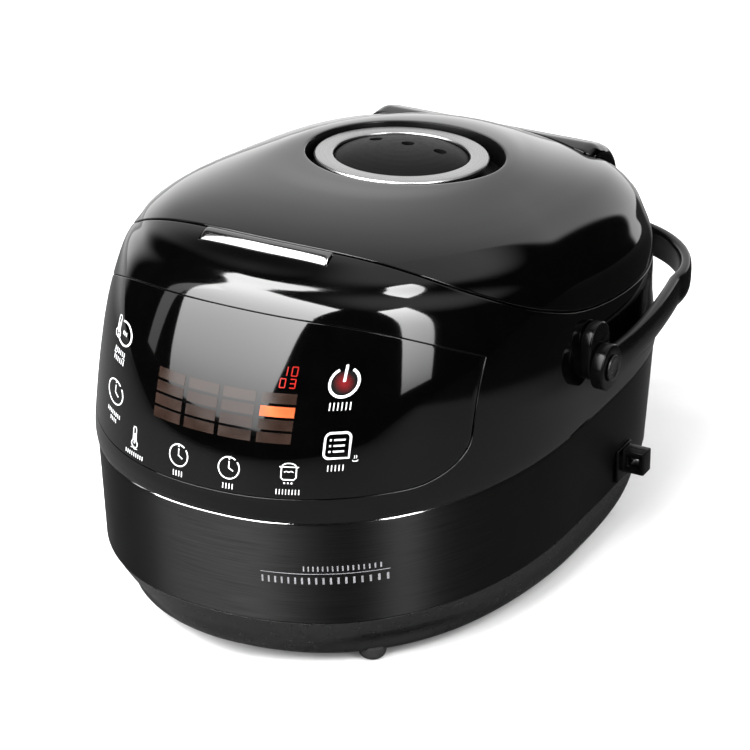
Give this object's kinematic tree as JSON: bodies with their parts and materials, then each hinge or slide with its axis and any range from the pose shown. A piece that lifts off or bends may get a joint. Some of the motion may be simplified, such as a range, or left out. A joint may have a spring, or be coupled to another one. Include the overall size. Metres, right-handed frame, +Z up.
{
  "type": "countertop electric multicooker",
  "caption": "Rounded countertop electric cooker with a hinged lid, latch button, lift-out steam valve, swing-up carry handle and a removable inner pot.",
  "frame": {"origin": "centre of the footprint, carry handle included, on the surface that the feet stand on", "axes": "+Z up, front towards -Y, +X to the right of someone who faces the front; +Y is the longest way (handle included) and +Z the shortest"},
  "size_m": [0.3156, 0.4276, 0.2446],
  "materials": {
    "gloss_black": "high gloss black moulding",
    "panel_black": "high gloss black panel",
    "satin_black": "satin black moulding",
    "dark_band": "dark tinted, brushed round the body",
    "silver_trim": "satin silver plating",
    "steel": "plain",
    "aluminium": "satin",
    "pot_coating": "dark non-stick coating",
    "silicone": "translucent white silicone",
    "rubber": "matte black",
    "board_green": "solder mask",
    "matte_black": "matte",
    "display_glass": "smoked",
    "copper": "bright",
    "cable_red": "insulation"
  },
  "bodies": {
    "housing": {"base_shell": "satin_black", "outer_band": "dark_band", "upper_housing": "gloss_black", "control_panel": "panel_black", "top_deck": "satin_black", "inner_pot": "pot_coating", "inner_shell": "aluminium", "side_heater": "silicone", "heating_plate": "aluminium", "heat_shield": "steel", "sensor_cup": "steel", "sensor_spring": "steel", "power_inlet": "satin_black", "inlet_terminals": "copper", "power_board": "board_green", "power_transformer": "matte_black", "power_relay": "matte_black", "control_board": "board_green", "display_module": "display_glass", "wire_harness": "cable_red", "utensil_holder": "satin_black", "latch_spring": "steel", "hinge_pin": "steel", "lid_spring": "steel", "foot_front_left": "rubber", "foot_front_right": "rubber", "foot_rear_left": "rubber", "foot_rear_right": "rubber", "base_screw_1": "steel", "base_screw_2": "steel", "base_screw_3": "steel", "base_screw_4": "steel", "heater_support_1": "steel", "heater_support_2": "steel", "heater_support_3": "steel", "handle_plate_left": "satin_black", "handle_pin_left": "satin_black", "hinge_bracket_left": "steel", "handle_plate_right": "satin_black", "handle_pin_right": "satin_black", "hinge_bracket_right": "steel"},
    "lid": {"lid_outer_shell": "gloss_black", "hinge_cover": "gloss_black", "lid_liner": "satin_black", "inner_lid_plate": "aluminium", "lid_seal": "silicone", "steam_duct": "silicone", "lid_striker": "steel", "lid_knuckle_left": "steel", "lid_knuckle_right": "steel"},
    "valve": {"valve_cup": "satin_black", "valve_ring": "silver_trim", "valve_cap": "gloss_black", "valve_gasket": "silicone"},
    "handle": {"carry_handle": "satin_black"},
    "latch": {"latch_button": "silver_trim", "latch_hook": "steel"},
    "sensor": {"thermal_sensor": "aluminium"}
  },
  "joints": [
    {"name": "lid_hinge", "type": "hinge", "parent": "housing", "child": "lid", "pos_m": [0, 0.17383, 0.1585], "axis": [-1, 0, 0], "range_deg": [0, 80]},
    {"name": "handle_swing", "type": "hinge", "parent": "housing", "child": "handle", "pos_m": [0, -0.00817, 0.141], "axis": [1, 0, 0], "range_deg": [0, 93]},
    {"name": "valve_lift", "type": "slide", "parent": "lid", "child": "valve", "axis": [0, 0.06, 0.9982], "range_m": [0, 0.06]},
    {"name": "latch_press", "type": "slide", "parent": "housing", "child": "latch", "axis": [0, 0, -1], "range_m": [0, 0.0025], "stiffness_N_per_m": 1500, "springref_m": -0.004, "deforming": ["latch_spring"]},
    {"name": "sensor_slide", "type": "slide", "parent": "housing", "child": "sensor", "axis": [0, 0, -1], "range_m": [0, 0.002], "stiffness_N_per_m": 800, "springref_m": -0.003, "deforming": ["sensor_spring"]}
  ]
}
